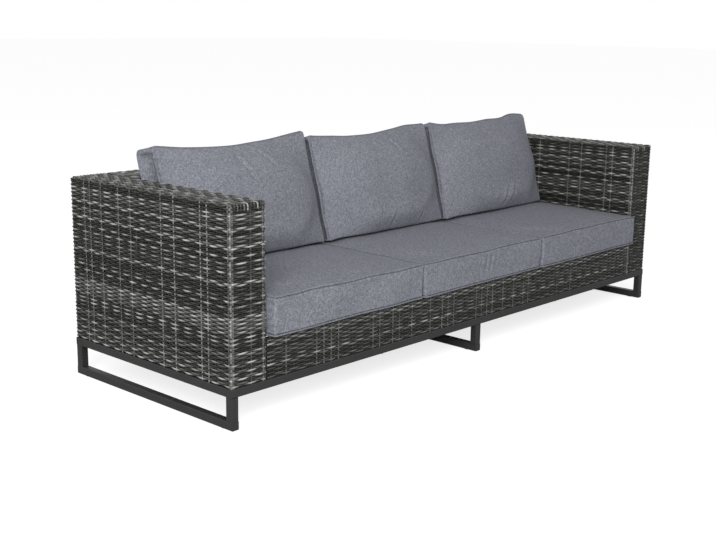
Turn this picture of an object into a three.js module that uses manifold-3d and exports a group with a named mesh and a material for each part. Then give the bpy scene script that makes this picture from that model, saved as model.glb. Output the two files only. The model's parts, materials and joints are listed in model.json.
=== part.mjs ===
// Three-seat woven garden sofa on a square-tube sled base, with loose boxed cushions.
// Millimetres, +Z up, +X along the sofa, the seat faces -Y.
// The origin is on the floor, under the middle of the sofa with its cushions.

import * as THREE from 'three';
import { mergeVertices } from 'three/addons/utils/BufferGeometryUtils.js';
import { RoundedBoxGeometry } from 'three/addons/geometries/RoundedBoxGeometry.js';
import Module from 'manifold-3d';

const wasm = await Module();
wasm.setup();

// Overall sizes of the woven body
const bodyLength = 2200;
const bodyDepth = 740;
const armHeight = 625;
const baseHeight = 120;
const armThickness = 130;
const backThickness = 150;
const deckHeight = 245;

// Woven skin
const skinThickness = 5;
const skinEdgeRadius = 10;
const skinOverhang = 0.5;

// Powder-coated base
const baseTube = 25;
const baseTubeWall = 2;
const baseTubeRadius = 2.5;
const glideThickness = 2;
const glideRadius = 9;
const glideSpigotRadius = 3.5;
const glideSpigotHeight = 6;
const glideInset = 45;
const drainRadius = 3;

// Welded aluminium frames inside the skins
const frameTube = 20;
const frameTubeWall = 1.5;

// Bolts
const boltRadius = 3;
const boltHeadRadius = 5;
const boltHeadHeight = 4;
const boltBite = 14;
const boltEndInset = 120;
const boltMiddleOffset = 480;

// Cushions
const seatsCount = 3;
const cushionOverhang = 20;
const seatCushionHeight = 112;
const seatCushionCrown = 15;
const seatCushionGap = 3;
const seatCushionBackGap = 2;
const backCushionHeight = 364;
const backCushionBoxing = 96;
const backCushionFrontCrown = 28;
const backCushionRearCrown = 34;
const backCushionGap = 14;
const backCushionSetback = 107;
const backCushionSquash = 28;
const backCushionLean = THREE.MathUtils.degToRad(15.5);
const cushionCornerRadius = 26;
const cushionEdgeRadius = 7;
const coverThickness = 2;
const coreEase = 14;
const zipLength = 480;
const zipWidth = 8;
const zipSliderLength = 14;
const zipSliderThickness = 1;

// Clearances and cutting allowances
const fit = 0.3;
const boreEase = 0.4;
const overrun = 1;
const weldTolerance = 0.0001;
const grain = 0.001;

// Numbers of facets
const cornerSteps = 1;
const edgeSteps = 2;
const roundFacets = 10;
const hexFacets = 6;

// Crown rings: share of the outline, and share of the crown reached there
const crownShares = [[0.9, 0.58], [0.66, 0.94]];

// Planes worked out from the sizes above
const halfLength = bodyLength / 2;
const halfDepth = bodyDepth / 2;
const innerX = halfLength - armThickness;
const backFaceY = halfDepth - backThickness;
const baseX = halfLength - skinOverhang;
const baseY = halfDepth - skinOverhang;
const runnerTop = glideThickness + baseTube;
const railBottom = baseHeight - baseTube;
const skinBottom = baseHeight + fit;
const frameBottom = baseHeight + fit;
const frameTop = armHeight - skinThickness - fit;
const seatFrameTop = deckHeight - skinThickness - fit;
const seatPitch = 2 * innerX / seatsCount;
const seatFrontY = -halfDepth - cushionOverhang;
const seatCushionBottom = deckHeight + fit;
const seatCushionTop = seatCushionBottom + seatCushionHeight + seatCushionCrown;
const seatCentres = Array.from({ length: seatsCount }, (_, i) => (i - (seatsCount - 1) / 2) * seatPitch);
const jointXs = seatCentres.slice(1).map((x) => x - seatPitch / 2);

const finish = {
  powderCoat: { color: 0x333437, roughness: 0.55, metalness: 0.25 },
  aluminium: { color: 0xa9abad, roughness: 0.45, metalness: 0.9 },
  wicker: { color: 0x4a4946, roughness: 0.62, metalness: 0 },
  fabric: { color: 0x7f828b, roughness: 0.95, metalness: 0 },
  fibre: { color: 0xe6e2d6, roughness: 1, metalness: 0 },
  zip: { color: 0x55585f, roughness: 0.6, metalness: 0 },
  plastic: { color: 0x17181a, roughness: 0.5, metalness: 0 },
  steel: { color: 0x9a9c9f, roughness: 0.35, metalness: 0.95 },
};
const materials = Object.fromEntries(
  Object.entries(finish).map(([name, look]) => [name, new THREE.MeshStandardMaterial(look)]),
);

// The woven body is set back by half of what the cushions stand out in front of it
const sofa = new THREE.Group();
const body = new THREE.Group();
body.position.y = cushionOverhang / 2;
sofa.add(body);

// Solids from three.js geometry, and back
function toSolid(geometry) {
  const bare = geometry.clone();
  if (bare.hasAttribute('normal')) bare.deleteAttribute('normal');
  if (bare.hasAttribute('uv')) bare.deleteAttribute('uv');
  const merged = mergeVertices(bare, weldTolerance);
  const vertProperties = new Float32Array(merged.attributes.position.array);
  const triVerts = new Uint32Array(merged.index.array);
  return new wasm.Manifold(new wasm.Mesh({ numProp: 3, vertProperties, triVerts }));
}

function toGeometry(solid) {
  const mesh = solid.asOriginal().simplify(grain).getMesh();
  const geometry = new THREE.BufferGeometry();
  geometry.setAttribute('position', new THREE.BufferAttribute(new Float32Array(mesh.vertProperties), 3));
  geometry.setIndex(new THREE.BufferAttribute(new Uint32Array(mesh.triVerts), 1));
  geometry.computeVertexNormals();
  return geometry;
}

function addPiece(name, solid, material) {
  const mesh = new THREE.Mesh(toGeometry(solid), material);
  mesh.name = name;
  body.add(mesh);
}

function joined(solids) {
  return solids.reduce((whole, next) => whole.add(next));
}

function cutBy(solid, tools) {
  return tools.reduce((rest, tool) => rest.subtract(tool), solid);
}

// A box between two corners [x, y, z], set on a fine grid so that flush faces meet exactly
function boxSolid(low, high) {
  const geometry = new THREE.BoxGeometry(1, 1, 1);
  const positions = geometry.attributes.position.array;
  positions.forEach((value, i) => {
    const corner = value > 0 ? high : low;
    positions[i] = Math.round(corner[i % corner.length] / grain) * grain;
  });
  return toSolid(geometry);
}

// Turns that lay a form made along +Z along another axis
const alongAxis = {
  x: (geometry) => geometry.rotateY(Math.PI / 2),
  y: (geometry) => geometry.rotateX(-Math.PI / 2),
  z: (geometry) => geometry,
};

function pegSolid(axis, radius, from, length, facets = roundFacets) {
  const geometry = new THREE.CylinderGeometry(radius, radius, length, facets).rotateX(Math.PI / 2);
  return toSolid(alongAxis[axis](geometry.translate(0, 0, length / 2)).translate(...from));
}

function roundedRectangle(width, height, radius) {
  const x = width / 2;
  const y = height / 2;
  const shape = new THREE.Shape();
  shape.moveTo(x, -y + radius);
  shape.lineTo(x, y - radius);
  shape.absarc(x - radius, y - radius, radius, 0, Math.PI / 2);
  shape.lineTo(-x + radius, y);
  shape.absarc(-x + radius, y - radius, radius, Math.PI / 2, Math.PI);
  shape.lineTo(-x, -y + radius);
  shape.absarc(-x + radius, -y + radius, radius, Math.PI, 1.5 * Math.PI);
  shape.lineTo(x - radius, -y);
  shape.absarc(x - radius, -y + radius, radius, 1.5 * Math.PI, 2 * Math.PI);
  return shape;
}

function barGeometry(axis, size, radius, centre, length) {
  const outline = roundedRectangle(size, size, radius);
  const options = { depth: length, bevelEnabled: false, curveSegments: cornerSteps };
  const geometry = new THREE.ExtrudeGeometry(outline, options).translate(0, 0, -length / 2);
  return alongAxis[axis](geometry).translate(...centre);
}

// A hollow square tube of the base, with its ends open or closed by welded plates
function baseTubeSolid(axis, centre, length, closedEnds) {
  const outer = toSolid(barGeometry(axis, baseTube, baseTubeRadius, centre, length));
  const innerLength = closedEnds ? length - 2 * baseTubeWall : length + 2 * overrun;
  const innerSize = baseTube - 2 * baseTubeWall;
  const innerRadius = baseTubeRadius - baseTubeWall;
  return outer.subtract(toSolid(barGeometry(axis, innerSize, innerRadius, centre, innerLength)));
}

// Bolts: each has a direction and the point where its head bears
const sides = { left: -1, right: 1 };
const jointLength = fit + frameTube + fit + skinThickness + fit + boltBite;
const baseJointLength = fit + baseTube + fit + boltBite;
const armBoltX = innerX - fit - frameTube - fit;
const backBoltY = backFaceY - fit - frameTube - fit;
const armBackBoltY = (backFaceY + halfDepth) / 2;
const lowLevel = frameBottom + frameTube / 2;
const seatLevel = seatFrameTop - frameTube / 2;
const railY = baseY - baseTube / 2;
const bolts = [];
for (const [side, sign] of Object.entries(sides)) {
  const armBolt = { axis: 'x', sign, length: jointLength };
  const frontFrom = [sign * armBoltX, -halfDepth + boltEndInset, seatLevel];
  const rearFrom = [sign * armBoltX, backFaceY - boltEndInset, seatLevel];
  const backFrom = [sign * armBoltX, armBackBoltY, lowLevel];
  bolts.push({ ...armBolt, name: `arm_seat_bolt_${side}_front`, from: frontFrom });
  bolts.push({ ...armBolt, name: `arm_seat_bolt_${side}_rear`, from: rearFrom });
  bolts.push({ ...armBolt, name: `arm_back_bolt_${side}`, from: backFrom });
  const seatFrom = [sign * boltMiddleOffset, backBoltY, seatLevel];
  bolts.push({ name: `back_seat_bolt_${side}`, axis: 'y', sign: 1, from: seatFrom, length: jointLength });
  for (const [place, y] of Object.entries({ front: -railY, rear: railY })) {
    const from = [sign * boltMiddleOffset, y, railBottom - fit];
    bolts.push({ name: `base_bolt_${side}_${place}`, axis: 'z', sign: 1, from, length: baseJointLength });
  }
}

// A peg on a bolt's axis: offsets run from the bearing face, along the bolt's direction
function boltPeg(bolt, radius, start, end, facets) {
  const axisIndex = { x: 0, y: 1, z: 2 }[bolt.axis];
  const from = [...bolt.from];
  const low = bolt.sign > 0 ? start : -end;
  from[axisIndex] += low;
  return pegSolid(bolt.axis, radius, from, end - start, facets);
}

function boltSolid(bolt) {
  const head = boltPeg(bolt, boltHeadRadius, -boltHeadHeight, 0, hexFacets);
  const shank = boltPeg(bolt, boltRadius, -boltHeadHeight / 2, bolt.length);
  return head.add(shank);
}

const boltBores = bolts.map((bolt) => boltPeg(bolt, boltRadius + boreEase, 0, bolt.length + overrun));

// Base: two long rails, three cross rails, and three sleds of two legs and a runner
const railLevel = baseHeight - baseTube / 2;
const runnerLevel = glideThickness + baseTube / 2;
const crossRailLength = 2 * (baseY - baseTube - fit);
const sledXs = { left: -baseX + baseTube / 2, centre: 0, right: baseX - baseTube / 2 };

function drain(x, y, z) {
  return pegSolid('z', drainRadius, [x, y, z - overrun], baseTubeWall + 2 * overrun);
}

function addLongRail(name, y) {
  const rail = baseTubeSolid('x', [0, y, railLevel], 2 * baseX, true);
  const drains = jointXs.map((x) => drain(x, y, railBottom));
  addPiece(name, cutBy(rail, [...drains, ...boltBores]), materials.powderCoat);
}

function addCrossRail(name, x) {
  const rail = baseTubeSolid('y', [x, 0, railLevel], crossRailLength, false);
  addPiece(name, cutBy(rail, boltBores), materials.powderCoat);
}

function addLeg(name, x, y) {
  const low = runnerTop + fit;
  const high = railBottom - fit;
  const leg = baseTubeSolid('z', [x, y, (low + high) / 2], high - low, false);
  addPiece(name, leg, materials.powderCoat);
}

function addRunner(name, x) {
  const runner = baseTubeSolid('y', [x, 0, runnerLevel], 2 * baseY, true);
  const holes = [-1, 1].map((end) => {
    const place = [x, end * (baseY - glideInset), glideThickness - overrun];
    return pegSolid('z', glideSpigotRadius + fit, place, baseTubeWall + 2 * overrun);
  });
  addPiece(name, cutBy(runner, holes), materials.powderCoat);
}

function addGlide(name, x, y) {
  const pad = pegSolid('z', glideRadius, [x, y, 0], glideThickness - fit);
  const spigot = pegSolid('z', glideSpigotRadius, [x, y, glideThickness / 2], glideSpigotHeight);
  addPiece(name, pad.add(spigot), materials.plastic);
}

addLongRail('base_front_rail', -railY);
addLongRail('base_rear_rail', railY);
for (const [row, x] of Object.entries(sledXs)) {
  addCrossRail(`base_${row}_rail`, x);
  addLeg(`${row}_front_leg`, x, -railY);
  addLeg(`${row}_rear_leg`, x, railY);
  addRunner(`${row}_runner`, x);
  addGlide(`${row}_front_glide`, x, -baseY + glideInset);
  addGlide(`${row}_rear_glide`, x, baseY - glideInset);
}

// Welded frames: each bar is a square tube between two corners, hollow and open to its neighbours
function bar(axis, low, length) {
  const high = low.map((value) => value + frameTube);
  high[{ x: 0, y: 1, z: 2 }[axis]] = low[{ x: 0, y: 1, z: 2 }[axis]] + length;
  return { low, high };
}

function weldedFrame(bars, drains) {
  const outside = joined(bars.map(({ low, high }) => boxSolid(low, high)));
  const hollow = joined(bars.map(({ low, high }) => {
    const innerLow = low.map((value) => value + frameTubeWall);
    const innerHigh = high.map((value) => value - frameTubeWall);
    return boxSolid(innerLow, innerHigh);
  }));
  const drainCuts = drains.map(([x, y]) => {
    const from = [x, y, frameBottom - overrun];
    return pegSolid('z', drainRadius, from, frameTubeWall + 2 * overrun);
  });
  return cutBy(outside, [hollow, ...drainCuts, ...boltBores]);
}

// A box frame: bars along its long axis in two planes, posts and spacers at stations along it
function boxFrameBars(longAxis, crossAxis, low, high, stations) {
  const index = { x: 0, y: 1, z: 2 };
  const long = index[longAxis];
  const cross = index[crossAxis];
  const bars = [];
  for (const level of [low[2], high[2] - frameTube]) {
    for (const plane of [low[cross], high[cross] - frameTube]) {
      const start = [...low];
      start[cross] = plane;
      start[2] = level;
      bars.push(bar(longAxis, start, high[long] - low[long]));
    }
    for (const station of stations) {
      const start = [...low];
      start[long] = station;
      start[2] = level;
      bars.push(bar(crossAxis, start, high[cross] - low[cross]));
    }
  }
  for (const station of stations) {
    for (const plane of [low[cross], high[cross] - frameTube]) {
      const start = [...low];
      start[long] = station;
      start[cross] = plane;
      bars.push(bar('z', start, high[2] - low[2]));
    }
  }
  return bars;
}

// Frame inside one arm, with a rail that the seat is bolted to
function addArmFrame(side, sign) {
  const nearX = sign * (innerX + skinThickness + fit);
  const farX = sign * (halfLength - skinThickness - fit);
  const endY = halfDepth - skinThickness - fit;
  const low = [Math.min(nearX, farX), -endY, frameBottom];
  const high = [Math.max(nearX, farX), endY, frameTop];
  const stations = [-endY, -frameTube / 2, endY - frameTube];
  const seatRailX = sign > 0 ? low[0] : high[0] - frameTube;
  const seatRail = bar('y', [seatRailX, -endY, seatFrameTop - frameTube], 2 * endY);
  const bars = [...boxFrameBars('y', 'x', low, high, stations), seatRail];
  const drains = [[low[0] + frameTube / 2, -endY / 2], [low[0] + frameTube / 2, endY / 2]];
  addPiece(`${side}_arm_frame`, weldedFrame(bars, drains), materials.aluminium);
}

// Stations along the sofa: both ends and the cushion joints
const unitX = innerX - fit;
const longStations = [-unitX, ...jointXs.map((x) => x - frameTube / 2), unitX - frameTube];

// Frame inside the back, with a rail for the seat as well
function addBackFrame() {
  const low = [-unitX, backFaceY + skinThickness + fit, frameBottom];
  const high = [unitX, halfDepth - skinThickness - fit, frameTop];
  const seatRail = bar('x', [low[0], low[1], seatFrameTop - frameTube], 2 * unitX);
  const bars = [...boxFrameBars('x', 'y', low, high, longStations), seatRail];
  const drains = seatCentres.map((x) => [x, low[1] + frameTube / 2]);
  addPiece('back_frame', weldedFrame(bars, drains), materials.aluminium);
}

// The seat's frame is a ladder under the deck on posts, with a low front rail behind the apron
function addSeatFrame() {
  const low = [-unitX, -halfDepth + skinThickness + fit, frameBottom];
  const high = [unitX, backFaceY - fit, seatFrameTop];
  const rearY = high[1] - frameTube;
  const ladderZ = high[2] - frameTube;
  const depth = high[1] - low[1];
  const lowFrontRail = bar('x', low, 2 * unitX);
  const ladderRails = [low[1], rearY].map((y) => bar('x', [low[0], y, ladderZ], 2 * unitX));
  const bearerXs = [...longStations, ...seatCentres.map((x) => x - frameTube / 2)];
  const bearers = bearerXs.map((x) => bar('y', [x, low[1], ladderZ], depth));
  const posts = longStations.flatMap((x) => (
    [low[1], rearY].map((y) => bar('z', [x, y, low[2]], high[2] - low[2]))
  ));
  const drains = seatCentres.map((x) => [x, low[1] + frameTube / 2]);
  const bars = [lowFrontRail, ...ladderRails, ...bearers, ...posts];
  addPiece('seat_frame', weldedFrame(bars, drains), materials.aluminium);
}

for (const [side, sign] of Object.entries(sides)) addArmFrame(side, sign);
addBackFrame();
addSeatFrame();

// Woven skins: rounded outside, and square inside where they lie on the frames
function addArmSkin(side, sign) {
  const height = armHeight - skinBottom + skinEdgeRadius;
  const centre = [sign * (halfLength - armThickness / 2), 0, armHeight - height / 2];
  const block = new RoundedBoxGeometry(armThickness, bodyDepth, height, edgeSteps, skinEdgeRadius);
  const halfWidth = armThickness / 2 - skinThickness;
  const halfSpan = halfDepth - skinThickness;
  const underside = skinBottom - height;
  const hollow = boxSolid(
    [centre[0] - halfWidth, -halfSpan, underside],
    [centre[0] + halfWidth, halfSpan, armHeight - skinThickness],
  );
  const below = boxSolid(
    [centre[0] - armThickness, -bodyDepth, underside],
    [centre[0] + armThickness, bodyDepth, skinBottom],
  );
  const skin = cutBy(toSolid(block.translate(...centre)), [hollow, below, ...boltBores]);
  addPiece(`${side}_arm_wicker`, skin, materials.wicker);
}

// Outline of the back's skin, folded over the top of the frame, as seen along X
function backOutline(frontY, rearY, topZ, bottomZ, thickness, radius) {
  const shape = new THREE.Shape();
  shape.moveTo(frontY, bottomZ);
  shape.lineTo(frontY, topZ - radius);
  shape.absarc(frontY + radius, topZ - radius, radius, Math.PI, Math.PI / 2, true);
  shape.lineTo(rearY - radius, topZ);
  shape.absarc(rearY - radius, topZ - radius, radius, Math.PI / 2, 0, true);
  shape.lineTo(rearY, bottomZ);
  shape.lineTo(rearY - thickness, bottomZ);
  shape.lineTo(rearY - thickness, topZ - thickness);
  shape.lineTo(frontY + thickness, topZ - thickness);
  shape.lineTo(frontY + thickness, bottomZ);
  return shape;
}

// Outline of the seat's skin: a flat deck that turns down over the front edge as the apron
function seatOutline(frontY, rearY, topZ, bottomZ, thickness, radius) {
  const shape = new THREE.Shape();
  shape.moveTo(frontY, bottomZ);
  shape.lineTo(frontY, topZ - radius);
  shape.absarc(frontY + radius, topZ - radius, radius, Math.PI, Math.PI / 2, true);
  shape.lineTo(rearY, topZ);
  shape.lineTo(rearY, topZ - thickness);
  shape.lineTo(frontY + thickness, topZ - thickness);
  shape.lineTo(frontY + thickness, bottomZ);
  return shape;
}

// An outline in (Y, Z) drawn out along X over the given half length
function drawnAlongX(outline, halfSpan) {
  const options = { depth: 2 * halfSpan, bevelEnabled: false, curveSegments: edgeSteps };
  const geometry = new THREE.ExtrudeGeometry(outline, options).translate(0, 0, -halfSpan);
  return toSolid(geometry.rotateX(Math.PI / 2).rotateZ(Math.PI / 2));
}

function addBackSkin() {
  const outline = backOutline(backFaceY, halfDepth, armHeight, skinBottom, skinThickness, skinEdgeRadius);
  addPiece('back_wicker', cutBy(drawnAlongX(outline, unitX), boltBores), materials.wicker);
}

function addSeatSkin() {
  const rearY = backFaceY - fit;
  const outline = seatOutline(-halfDepth, rearY, deckHeight, skinBottom, skinThickness, skinEdgeRadius);
  addPiece('seat_wicker', drawnAlongX(outline, unitX), materials.wicker);
}

for (const [side, sign] of Object.entries(sides)) addArmSkin(side, sign);
addBackSkin();
addSeatSkin();
for (const bolt of bolts) addPiece(bolt.name, boltSolid(bolt), materials.steel);

// The points round a rounded rectangle, each once
function outlinePoints(width, height, radius) {
  const points = roundedRectangle(width, height, radius).getPoints(cornerSteps);
  return points.filter((point, i) => point.distanceTo(points[(i + 1) % points.length]) > weldTolerance);
}

// A closed soft form: rings of a rounded rectangle stacked along Z and closed by a point at each end
function ringForm(width, height, radius, rings) {
  const outlines = rings.slice(1, -1).map(({ inset, share, level }) => {
    const points = outlinePoints(width - 2 * inset, height - 2 * inset, radius - inset);
    return points.map((point) => [point.x * share, point.y * share, level]);
  });
  const count = outlines[0].length;
  const points = [[0, 0, rings[0].level], ...outlines.flat(), [0, 0, rings.at(-1).level]];
  const last = points.length - 1;
  const top = last - count;
  const index = [];
  for (let i = 0; i < count; i += 1) {
    const next = (i + 1) % count;
    index.push(0, 1 + next, 1 + i);
    for (let low = 1; low < top; low += count) {
      const high = low + count;
      index.push(low + i, low + next, high + next, low + i, high + next, high + i);
    }
    index.push(top + i, top + next, last);
  }
  const geometry = new THREE.BufferGeometry();
  geometry.setAttribute('position', new THREE.BufferAttribute(new Float32Array(points.flat()), 3));
  geometry.setIndex(index);
  return geometry;
}

// Rings of a boxed cushion: a flat-sided boxing with crowned faces below and above it
function cushionRings(bottom, top, lowCrown, highCrown, edge) {
  const crown = (size, level, direction) => crownShares.map(([share, reach]) => (
    { inset: edge, share, level: level + direction * size * reach }
  ));
  return [
    { level: bottom - lowCrown },
    ...crown(lowCrown, bottom, -1).reverse(),
    { inset: edge, share: 1, level: bottom },
    { inset: 0, share: 1, level: bottom + edge },
    { inset: 0, share: 1, level: top - edge },
    { inset: edge, share: 1, level: top },
    ...crown(highCrown, top, 1),
    { level: top + highCrown },
  ];
}

const seatCushionWidth = seatPitch - seatCushionGap;
const seatCushionRearY = backFaceY - seatCushionBackGap;
const seatCushionDepth = seatCushionRearY - seatFrontY;
const seatCushionY = (seatCushionRearY + seatFrontY) / 2;

// The seat cushion's form, drawn in on every side; the top is drawn in by its own amount
function seatForm(x, inset, bottomInset, topInset) {
  const bottom = seatCushionBottom + bottomInset;
  const top = seatCushionBottom + seatCushionHeight - topInset;
  const rings = cushionRings(bottom, top, 0, seatCushionCrown, cushionEdgeRadius)
    .filter((ring, i) => i !== 1 && i !== 2);
  const width = seatCushionWidth - 2 * inset;
  const depth = seatCushionDepth - 2 * inset;
  return toSolid(ringForm(width, depth, cushionCornerRadius, rings).translate(x, seatCushionY, 0));
}

// The zip: a tape that fills a slot in the cover, with its slider standing inside the cover
function zipParts(centre, size, thickAxis, inward) {
  const half = size.map((value) => value / 2);
  const slotHalf = half.map((value, i) => (i === thickAxis ? value + overrun : value + fit));
  const slot = boxSolid(centre.map((v, i) => v - slotHalf[i]), centre.map((v, i) => v + slotHalf[i]));
  const tape = boxSolid(centre.map((v, i) => v - half[i]), centre.map((v, i) => v + half[i]));
  const sliderCentre = [...centre];
  sliderCentre[0] += half[0] - zipSliderLength;
  sliderCentre[thickAxis] += inward * zipSliderThickness / 2;
  const sliderHalf = half.map((value, i) => (i === thickAxis ? value : value - fit));
  sliderHalf[0] = zipSliderLength / 2;
  const low = sliderCentre.map((v, i) => v - sliderHalf[i]);
  const high = sliderCentre.map((v, i) => v + sliderHalf[i]);
  return { slot, zip: tape.add(boxSolid(low, high)) };
}

function addCushion(name, cover, core, zipAndSlot) {
  addPiece(`${name}_cover`, cover.subtract(zipAndSlot.slot), materials.fabric);
  addPiece(`${name}_core`, core.subtract(zipAndSlot.slot), materials.fibre);
  addPiece(`${name}_zip`, zipAndSlot.zip, materials.zip);
}

function addSeatCushion(place, x) {
  const outside = seatForm(x, 0, 0, 0);
  const inside = seatForm(x, coverThickness, coverThickness, coverThickness);
  const coreInset = coverThickness + coreEase;
  const core = seatForm(x, coreInset, coverThickness + fit, coreInset);
  const zipCentre = [x, seatCushionRearY - coverThickness / 2, seatCushionBottom + seatCushionHeight / 2];
  const zip = zipParts(zipCentre, [zipLength, coverThickness, zipWidth], 1, -1);
  addCushion(`${place}_seat_cushion`, outside.subtract(inside), core, zip);
}

const backCushionWidth = seatPitch - backCushionGap;
const backCushionY = backFaceY - backCushionSetback;
const backCushionBottom = seatCushionTop + fit;
const backCushionReach = (
  (backCushionHeight * Math.cos(backCushionLean) + backCushionBoxing * Math.sin(backCushionLean)) / 2
);
const backCushionLevel = seatCushionTop + backCushionReach - backCushionSquash;

// The back cushion's form leans back; it is flat where it rests on the seat and on the backrest
function backForm(x, inset, restInset) {
  const half = backCushionBoxing / 2 - inset;
  const rings = cushionRings(-half, half, backCushionRearCrown, backCushionFrontCrown, cushionEdgeRadius);
  const width = backCushionWidth - 2 * inset;
  const height = backCushionHeight - 2 * inset;
  const form = ringForm(width, height, cushionCornerRadius, rings)
    .rotateX(Math.PI / 2 - backCushionLean)
    .translate(x, backCushionY, backCushionLevel);
  const reach = backCushionHeight;
  const restLevel = backCushionBottom + restInset;
  const restY = backFaceY - fit - restInset;
  const seatCut = boxSolid([x - width, -reach, restLevel - reach], [x + width, 2 * reach, restLevel]);
  const backCut = boxSolid([x - width, restY, restLevel - reach], [x + width, restY + reach, 3 * reach]);
  return cutBy(toSolid(form), [seatCut, backCut]);
}

function addBackCushion(place, x) {
  const outside = backForm(x, 0, 0);
  const inside = backForm(x, coverThickness, coverThickness);
  const core = backForm(x, coverThickness + coreEase, coverThickness + fit);
  const rise = backCushionLevel - backCushionBottom;
  const zipY = backCushionY - rise * Math.tan(backCushionLean);
  const zipCentre = [x, zipY, backCushionBottom + coverThickness / 2];
  const zip = zipParts(zipCentre, [zipLength, zipWidth, coverThickness], 2, 1);
  addCushion(`${place}_back_cushion`, outside.subtract(inside), core, zip);
}

const places = ['left', 'middle', 'right'];
seatCentres.forEach((x, i) => {
  addSeatCushion(places[i], x);
  addBackCushion(places[i], x);
});

export default sofa;
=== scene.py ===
import json
import math

import bpy
import numpy as np
from mathutils import Matrix, Vector
from mathutils.kdtree import KDTree


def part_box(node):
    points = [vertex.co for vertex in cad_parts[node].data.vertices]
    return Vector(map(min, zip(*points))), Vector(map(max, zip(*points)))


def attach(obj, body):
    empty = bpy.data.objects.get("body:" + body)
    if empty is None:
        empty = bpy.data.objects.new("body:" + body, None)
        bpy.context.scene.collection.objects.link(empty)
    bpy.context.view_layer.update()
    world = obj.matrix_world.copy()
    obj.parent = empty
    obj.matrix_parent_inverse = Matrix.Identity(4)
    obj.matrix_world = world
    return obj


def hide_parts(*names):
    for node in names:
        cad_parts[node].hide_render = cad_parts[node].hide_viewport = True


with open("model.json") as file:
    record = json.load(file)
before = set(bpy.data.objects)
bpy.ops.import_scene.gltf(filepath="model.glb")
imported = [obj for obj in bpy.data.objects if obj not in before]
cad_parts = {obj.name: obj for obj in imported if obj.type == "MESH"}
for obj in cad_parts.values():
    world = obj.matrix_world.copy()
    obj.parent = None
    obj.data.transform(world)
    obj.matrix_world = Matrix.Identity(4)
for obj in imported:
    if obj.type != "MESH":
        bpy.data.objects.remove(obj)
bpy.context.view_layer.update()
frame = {"nodes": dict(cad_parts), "record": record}

# Metres throughout, in the row's frame: +X along the sofa, the seat faces -Y.
# The photograph is 716 by 540 pixels.

PHOTO_WIDTH = 716
SENSOR_WIDTH = 36.0
FOCAL_PIXELS = 1142
CAMERA_PLACE = (-3.0197, -2.6050, 1.1127)
CAMERA_YAW = math.radians(47.082)
CAMERA_PITCH = math.radians(12.571)
CAMERA_ROLL = math.radians(0.771)
WHITE = (1.0, 1.0, 1.0, 1.0)
WORLD_LEVEL = 0.36
KEY_PLACE = (-4.2, -3.75, 3.1)
KEY_TARGET = (0.0, 0.0, 0.35)
KEY_POWER = 325
KEY_SIZE = 3.6
FLOOR_HALF = 40.0
FLOOR_GREY = (0.6, 0.6, 0.6, 1.0)
FLOOR_GLOW = 0.76

PLACES = ("left", "middle", "right")

# Weave: rows of flat resin strands that pass over and under upright strands (warps)
ROW_PITCH = 0.00595
ROW_WIDTH = 0.0052
TOP_ROW_WIDTH = 0.0048
LOW_WIDTH_SHARE = 0.84
WIDTH_GAIN = 0.2
WARP_PITCH = 0.0286
SHEET_WARP_SPREAD = 1.06
WARP_WIDTH = 0.0060
WARP_SINK = 0.0007
WAVE = 0.0020
WAVE_RANGE = (0.85, 1.15)
WAVE_POWER = 0.75
SWAY = 0.00018
SWAY_WINDOW = 7
SINK = 0.0012
EDGE_DROP = 0.0024
EDGE_RADIUS = 0.0075
LINING_DEPTH = 0.0049
LINING_GAP = 0.001
STRAND_OFFSETS = np.array([-0.5, -0.3, 0.0, 0.3, 0.5])
STRAND_DROPS = np.array([1.0, 0.32, 0.0, 0.32, 1.0])
STRAND_STEP = 0.0072
REAR_STEP = 0.0095
DECK_STEP = 0.011
CORNER_STEP = 0.0025
UPRIGHT_SAMPLES = 40
PLAN_START = 0.03
FACE_OVERLAP = 0.01
TUCK = 0.018
CORNER_TUCK = 0.15
CORNER_WARP_OFFSET = 0.011
FACE_WARPS = (0.011, 0.044, 0.075, 0.106, 0.119)
FRONT_FACING = 0.7
TOP_FACING = 0.97
ARM_SEEDS = {"left": (3, 4), "right": (5, 6)}
BACK_SEEDS = (11, 12, 13)
SEAT_SEEDS = (21, 22)

# Tones of the strands, from 0 dark to 1 light, which rows and warps are the light ones, and the painted
# shade and light laid on some of them
LIGHT_SHARE = 0.33
MIDDLE_SHARE = 0.4
WARP_MIDDLE_SHARE = 0.05
LIGHT_TONE = 0.85
MIDDLE_TONE = 0.45
DARK_TONE = 0.12
TONE_SPREAD = 0.06
TONE_DRIFT = 0.05
DRIFT_STEP = 12
DASH_GAINS = (0.72, 1.1)
# Share of a strand's tone kept at the bottom of its dip: painted shade
UNDER_SHADE = 0.34
WARP_GAIN = 0.62
CORNER_GAIN = 0.62
# Painted shade: the rows over the arm's top are toned down, against the stronger light that falls on the top
TOP_PAINTED_SHADE_GAIN = 0.8
APRON_WARP_GAIN = 0.5
# Warps darker than this share of their gain get painted shade
DARK_WARP_LIMIT = 0.3
WARP_PAINTED_SHADE = 0.25
# Painted light and shade: the left arm's front face is toned lighter and the right arm's darker, for how the
# light falls on them
FACE_PAINTED_LIGHT_LEVELS = {"left": 1.1, "right": 0.6}
FACE_LIGHT_WARPS = {"left": (0, 4), "right": ()}
TOP_LIGHT_ROWS = (2, 5, 8, 11, 13, 16, 18)
SIDE_LIGHT_WARPS = (0, 3, 4, 8, 10, 15, 17, 20, 22, 23)
ARM_LIGHT_ROWS = (3, 5, 9, 10, 13, 17, 18, 22, 25, 29, 34, 35, 42, 45, 50, 51, 53, 55, 57, 60, 62,
                  67, 72, 76, 79, 82)
APRON_LIGHT_WARPS = (2, 6, 7, 8, 9, 14, 15, 17, 18, 20, 23, 25, 26, 27, 31, 32, 33, 34, 36, 38, 40,
                     41, 50)

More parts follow.
